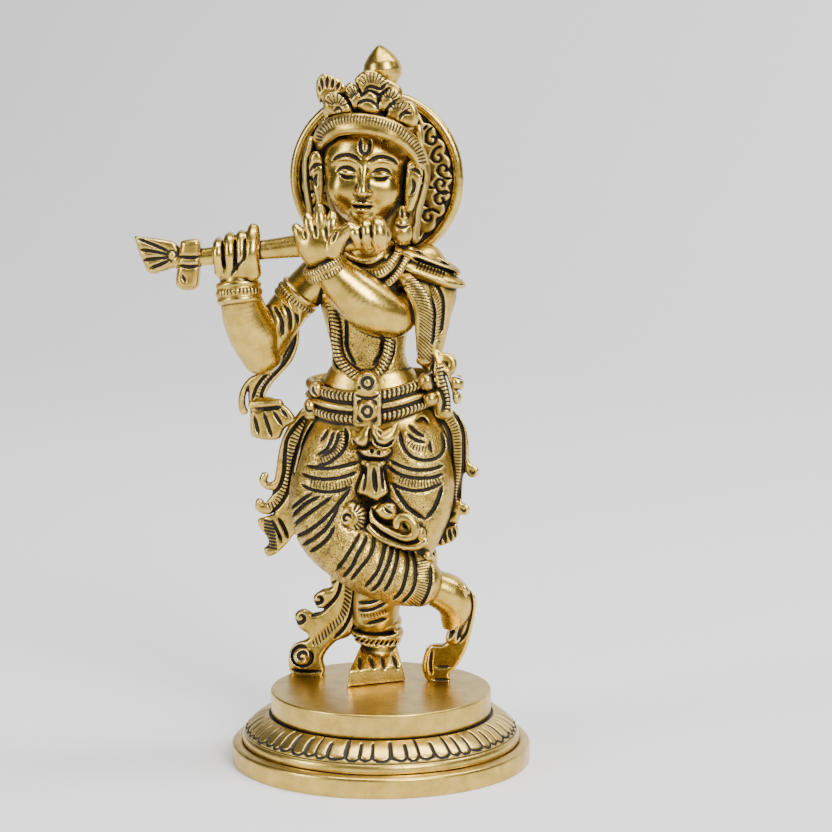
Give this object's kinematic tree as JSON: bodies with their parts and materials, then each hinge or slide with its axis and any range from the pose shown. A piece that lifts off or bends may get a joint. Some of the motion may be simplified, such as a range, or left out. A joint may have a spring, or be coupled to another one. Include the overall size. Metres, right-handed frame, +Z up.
{
  "type": "cast brass flute-player statuette",
  "caption": "Cast brass statuette of a cross-legged flute player with a crown and halo, standing on a round base with a drum, petal band and plinth.",
  "frame": {"origin": "centre of the base's underside, on the plane the base rests on", "axes": "+Z up through the figure, -Y the way the figure faces, +X towards the figure's own left hand side"},
  "size_m": [0.0994, 0.076, 0.1802],
  "materials": {
    "brass_polished": "hand polished, satin",
    "brass_chased": "chased relief, polished on the ridges, dark patina in the lines",
    "brass_dark": "as cast, dark patina"
  },
  "bodies": {
    "root": {"base_plinth": "brass_polished", "base_lotus": "brass_polished", "base_drum": "brass_polished", "standing_foot": "brass_polished", "standing_anklet": "brass_chased", "standing_leg": "brass_chased", "crossed_foot": "brass_polished", "crossed_anklet": "brass_chased", "crossed_shin": "brass_chased", "crossed_leg": "brass_chased", "lower_scroll": "brass_chased", "hips": "brass_chased", "right_sash": "brass_chased", "left_sash": "brass_chased", "girdle_pendant": "brass_chased", "front_tassel": "brass_chased", "lap_swag": "brass_chased", "belt": "brass_chased", "belt_buckle": "brass_chased", "belt_knobs": "brass_chased", "belt_bow": "brass_chased", "torso": "brass_chased", "garland": "brass_chased", "collar": "brass_chased", "neck": "brass_polished", "right_upper_arm": "brass_polished", "right_armlet": "brass_chased", "right_forearm": "brass_polished", "right_cuff": "brass_chased", "right_hand": "brass_polished", "left_upper_arm": "brass_polished", "left_forearm": "brass_polished", "left_bangle": "brass_chased", "left_hand": "brass_polished", "flute": "brass_polished", "flute_tassel": "brass_chased", "flute_ribbon": "brass_chased", "shawl": "brass_chased", "shoulder_flaps": "brass_chased", "arm_scarf": "brass_chased", "scarf_tassel": "brass_chased", "head": "brass_polished", "ears": "brass_polished", "earrings": "brass_chased", "hair": "brass_dark", "crown_band": "brass_chased", "crown_cap": "brass_dark", "crown_plumes": "brass_chased", "peacock_feather": "brass_chased", "crown_bud": "brass_polished", "halo_disc": "brass_dark", "halo_rim": "brass_polished", "halo_scrolls": "brass_chased", "halo_stud": "brass_dark"}
  },
  "joints": []
}
